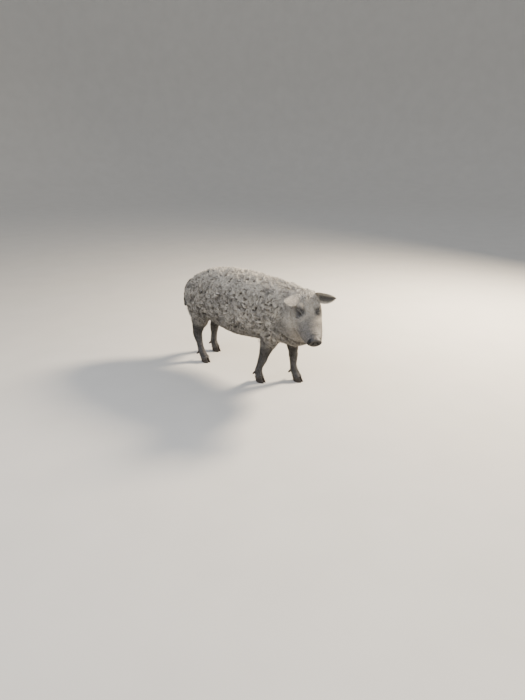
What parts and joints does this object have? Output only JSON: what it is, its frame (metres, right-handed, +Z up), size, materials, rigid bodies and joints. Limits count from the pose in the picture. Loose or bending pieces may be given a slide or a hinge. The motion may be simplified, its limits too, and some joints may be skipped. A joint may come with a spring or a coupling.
{
  "type": "mangalica pig model",
  "caption": "Life-size still model of a curly-coated mangalica pig, standing in a half step with its head low and turned to its right.",
  "frame": {"origin": "middle of the whole object's box, on the floor plane under the soles", "axes": "+X from the rump to the shoulders, +Y to the pig's left, +Z up"},
  "size_m": [1.5218, 0.5298, 0.7788],
  "materials": {
    "curly_coat": "matte curled hair, cream over grey-brown roots",
    "face_skin": "matte, short hair over slate skin",
    "ear_skin": "matte, short hair, darker in the hollow",
    "snout_skin": "satin, moist slate",
    "leg_skin": "matte, short dark hair",
    "dark_hair": "matte hair",
    "claw_horn": "satin horn",
    "eye": "glossy"
  },
  "bodies": {
    "root": {"ear_left": "ear_skin", "ear_right": "ear_skin", "eye_left": "eye", "eye_right": "eye", "fore_left_claw_left": "claw_horn", "fore_left_claw_right": "claw_horn", "fore_left_dewclaw_left": "claw_horn", "fore_left_dewclaw_right": "claw_horn", "fore_left_lower": "leg_skin", "fore_left_upper": "curly_coat", "fore_right_claw_left": "claw_horn", "fore_right_claw_right": "claw_horn", "fore_right_dewclaw_left": "claw_horn", "fore_right_dewclaw_right": "claw_horn", "fore_right_lower": "leg_skin", "fore_right_upper": "curly_coat", "head": "face_skin", "hind_left_claw_left": "claw_horn", "hind_left_claw_right": "claw_horn", "hind_left_dewclaw_left": "claw_horn", "hind_left_dewclaw_right": "claw_horn", "hind_left_lower": "leg_skin", "hind_left_upper": "curly_coat", "hind_right_claw_left": "claw_horn", "hind_right_claw_right": "claw_horn", "hind_right_dewclaw_left": "claw_horn", "hind_right_dewclaw_right": "claw_horn", "hind_right_lower": "leg_skin", "hind_right_upper": "curly_coat", "jaw": "face_skin", "neck": "curly_coat", "snout": "snout_skin", "tail": "dark_hair", "torso": "curly_coat"}
  },
  "joints": []
}
